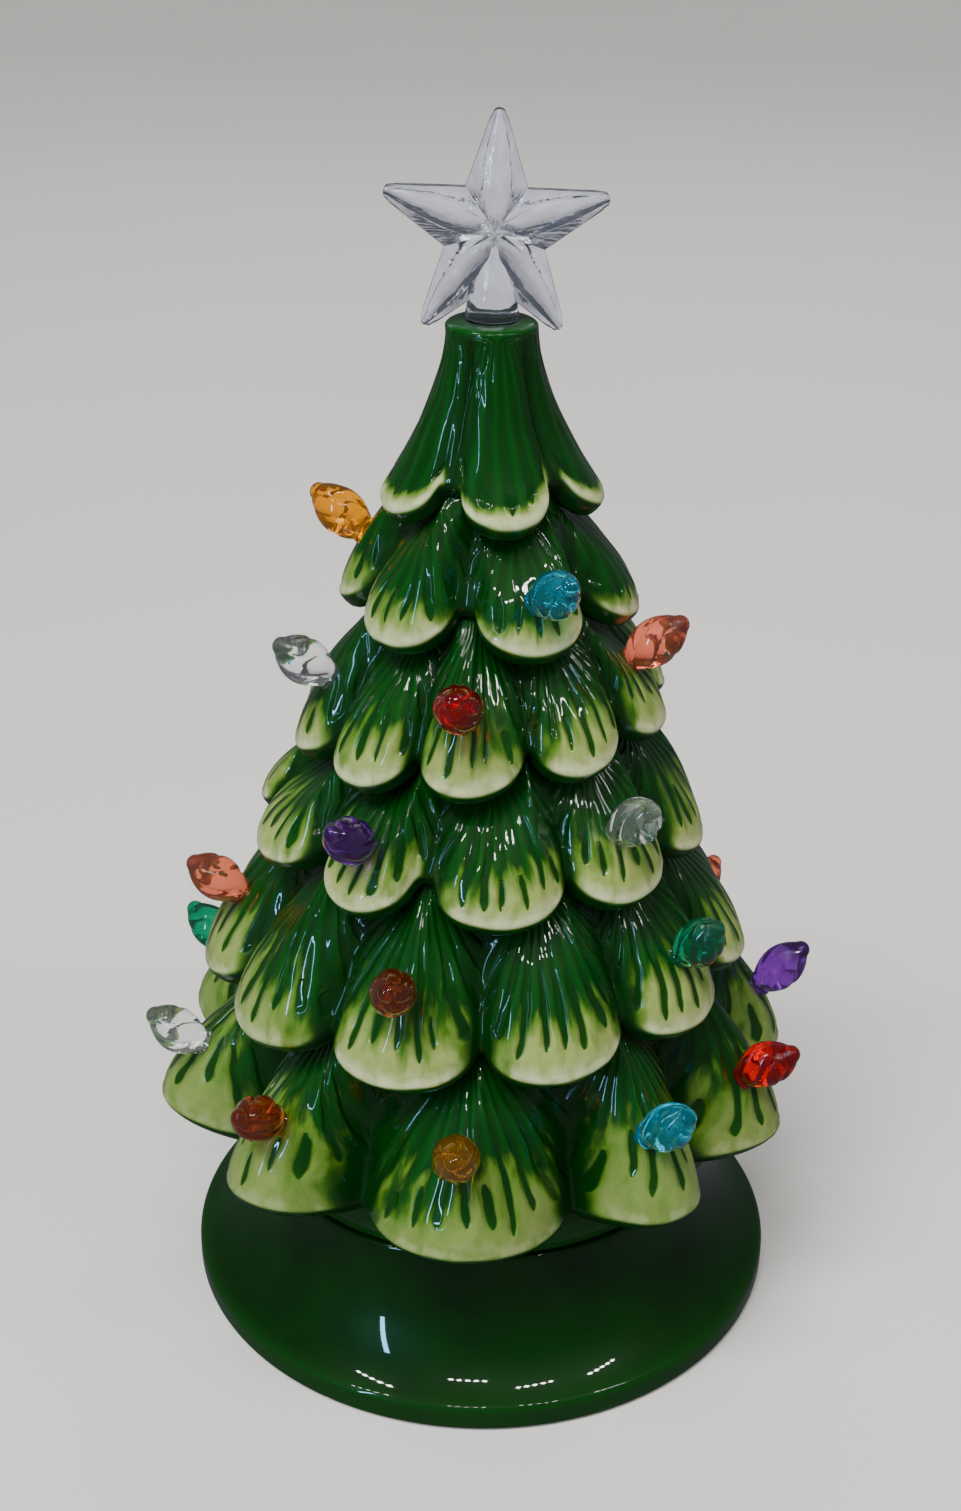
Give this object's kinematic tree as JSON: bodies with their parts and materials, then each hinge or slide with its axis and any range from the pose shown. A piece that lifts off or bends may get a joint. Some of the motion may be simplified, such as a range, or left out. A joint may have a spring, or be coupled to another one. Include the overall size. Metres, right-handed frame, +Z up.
{
  "type": "lighted tabletop tree",
  "caption": "Hollow glazed green tree with cream bough ends, coloured twist bulbs and a clear star, lifted off a flared base that holds a battery light",
  "frame": {"origin": "On the table, at the middle of the base's round foot", "axes": "+Z up through the star, -Y towards the viewer of the pictured front, +X to the viewer's right"},
  "size_m": [0.1271, 0.1277, 0.2242],
  "materials": {
    "tree_glaze": "glossy green glaze with cream bough ends",
    "base_glaze": "glossy green glaze",
    "star_plastic": "clear, polished",
    "bulb_clear": "tinted see-through, polished",
    "bulb_red": "tinted see-through, polished",
    "bulb_amber": "tinted see-through, polished",
    "bulb_copper": "tinted see-through, polished",
    "bulb_salmon": "tinted see-through, polished",
    "bulb_aqua": "tinted see-through, polished",
    "bulb_green": "tinted see-through, polished",
    "bulb_purple": "tinted see-through, polished",
    "housing_plastic": "moulded, satin",
    "cell_sleeve": "plain printed sleeve",
    "contact_metal": "plated",
    "board_white": "satin",
    "lamp_epoxy": "clear epoxy",
    "dome_frost": "frosted",
    "wire_red": "insulation",
    "wire_black": "insulation"
  },
  "bodies": {
    "base": {"base_shell": "base_glaze", "light_housing": "housing_plastic", "closing_plate": "housing_plastic", "battery_1": "cell_sleeve", "battery_2": "cell_sleeve", "battery_3": "cell_sleeve", "contact_spring_1": "contact_metal", "contact_spring_2": "contact_metal", "contact_spring_3": "contact_metal", "positive_contact": "contact_metal", "bridge_contact_1": "contact_metal", "bridge_contact_2": "contact_metal", "negative_contact": "contact_metal", "lamp_board": "board_white", "lamp_1": "lamp_epoxy", "lamp_2": "lamp_epoxy", "lamp_3": "lamp_epoxy", "light_dome": "dome_frost", "switch_body": "housing_plastic", "wire_1": "wire_red", "wire_2": "wire_black", "wire_3": "wire_red"},
    "tree": {"tree_shell": "tree_glaze", "bulb_01": "bulb_aqua", "bulb_02": "bulb_red", "bulb_03": "bulb_amber", "bulb_04": "bulb_red", "bulb_05": "bulb_salmon", "bulb_06": "bulb_green", "bulb_07": "bulb_purple", "bulb_08": "bulb_clear", "bulb_09": "bulb_clear", "bulb_10": "bulb_amber", "bulb_11": "bulb_aqua", "bulb_12": "bulb_purple", "bulb_13": "bulb_copper", "bulb_14": "bulb_green", "bulb_15": "bulb_salmon", "bulb_16": "bulb_amber", "bulb_17": "bulb_salmon", "bulb_18": "bulb_amber", "bulb_19": "bulb_aqua", "bulb_20": "bulb_red", "bulb_21": "bulb_purple", "bulb_22": "bulb_salmon", "bulb_23": "bulb_copper", "bulb_24": "bulb_clear", "bulb_25": "bulb_aqua", "bulb_26": "bulb_green", "bulb_27": "bulb_clear", "bulb_28": "bulb_copper"},
    "star": {"star_topper": "star_plastic"},
    "battery_cover": {"battery_cover": "housing_plastic"},
    "switch_slider": {"switch_slider": "board_white"}
  },
  "joints": [
    {"name": "tree_lift", "type": "slide", "parent": "base", "child": "tree", "axis": [0, 0, 1], "range_m": [0, 0.045]},
    {"name": "star_lift", "type": "slide", "parent": "tree", "child": "star", "axis": [0, 0, 1], "range_m": [0, 0.02]},
    {"name": "cover_drop", "type": "slide", "parent": "base", "child": "battery_cover", "axis": [0, 0, -1], "range_m": [0, 0.012]},
    {"name": "switch_slide", "type": "slide", "parent": "base", "child": "switch_slider", "axis": [0, 1, 0], "range_m": [0, 0.0035]}
  ]
}
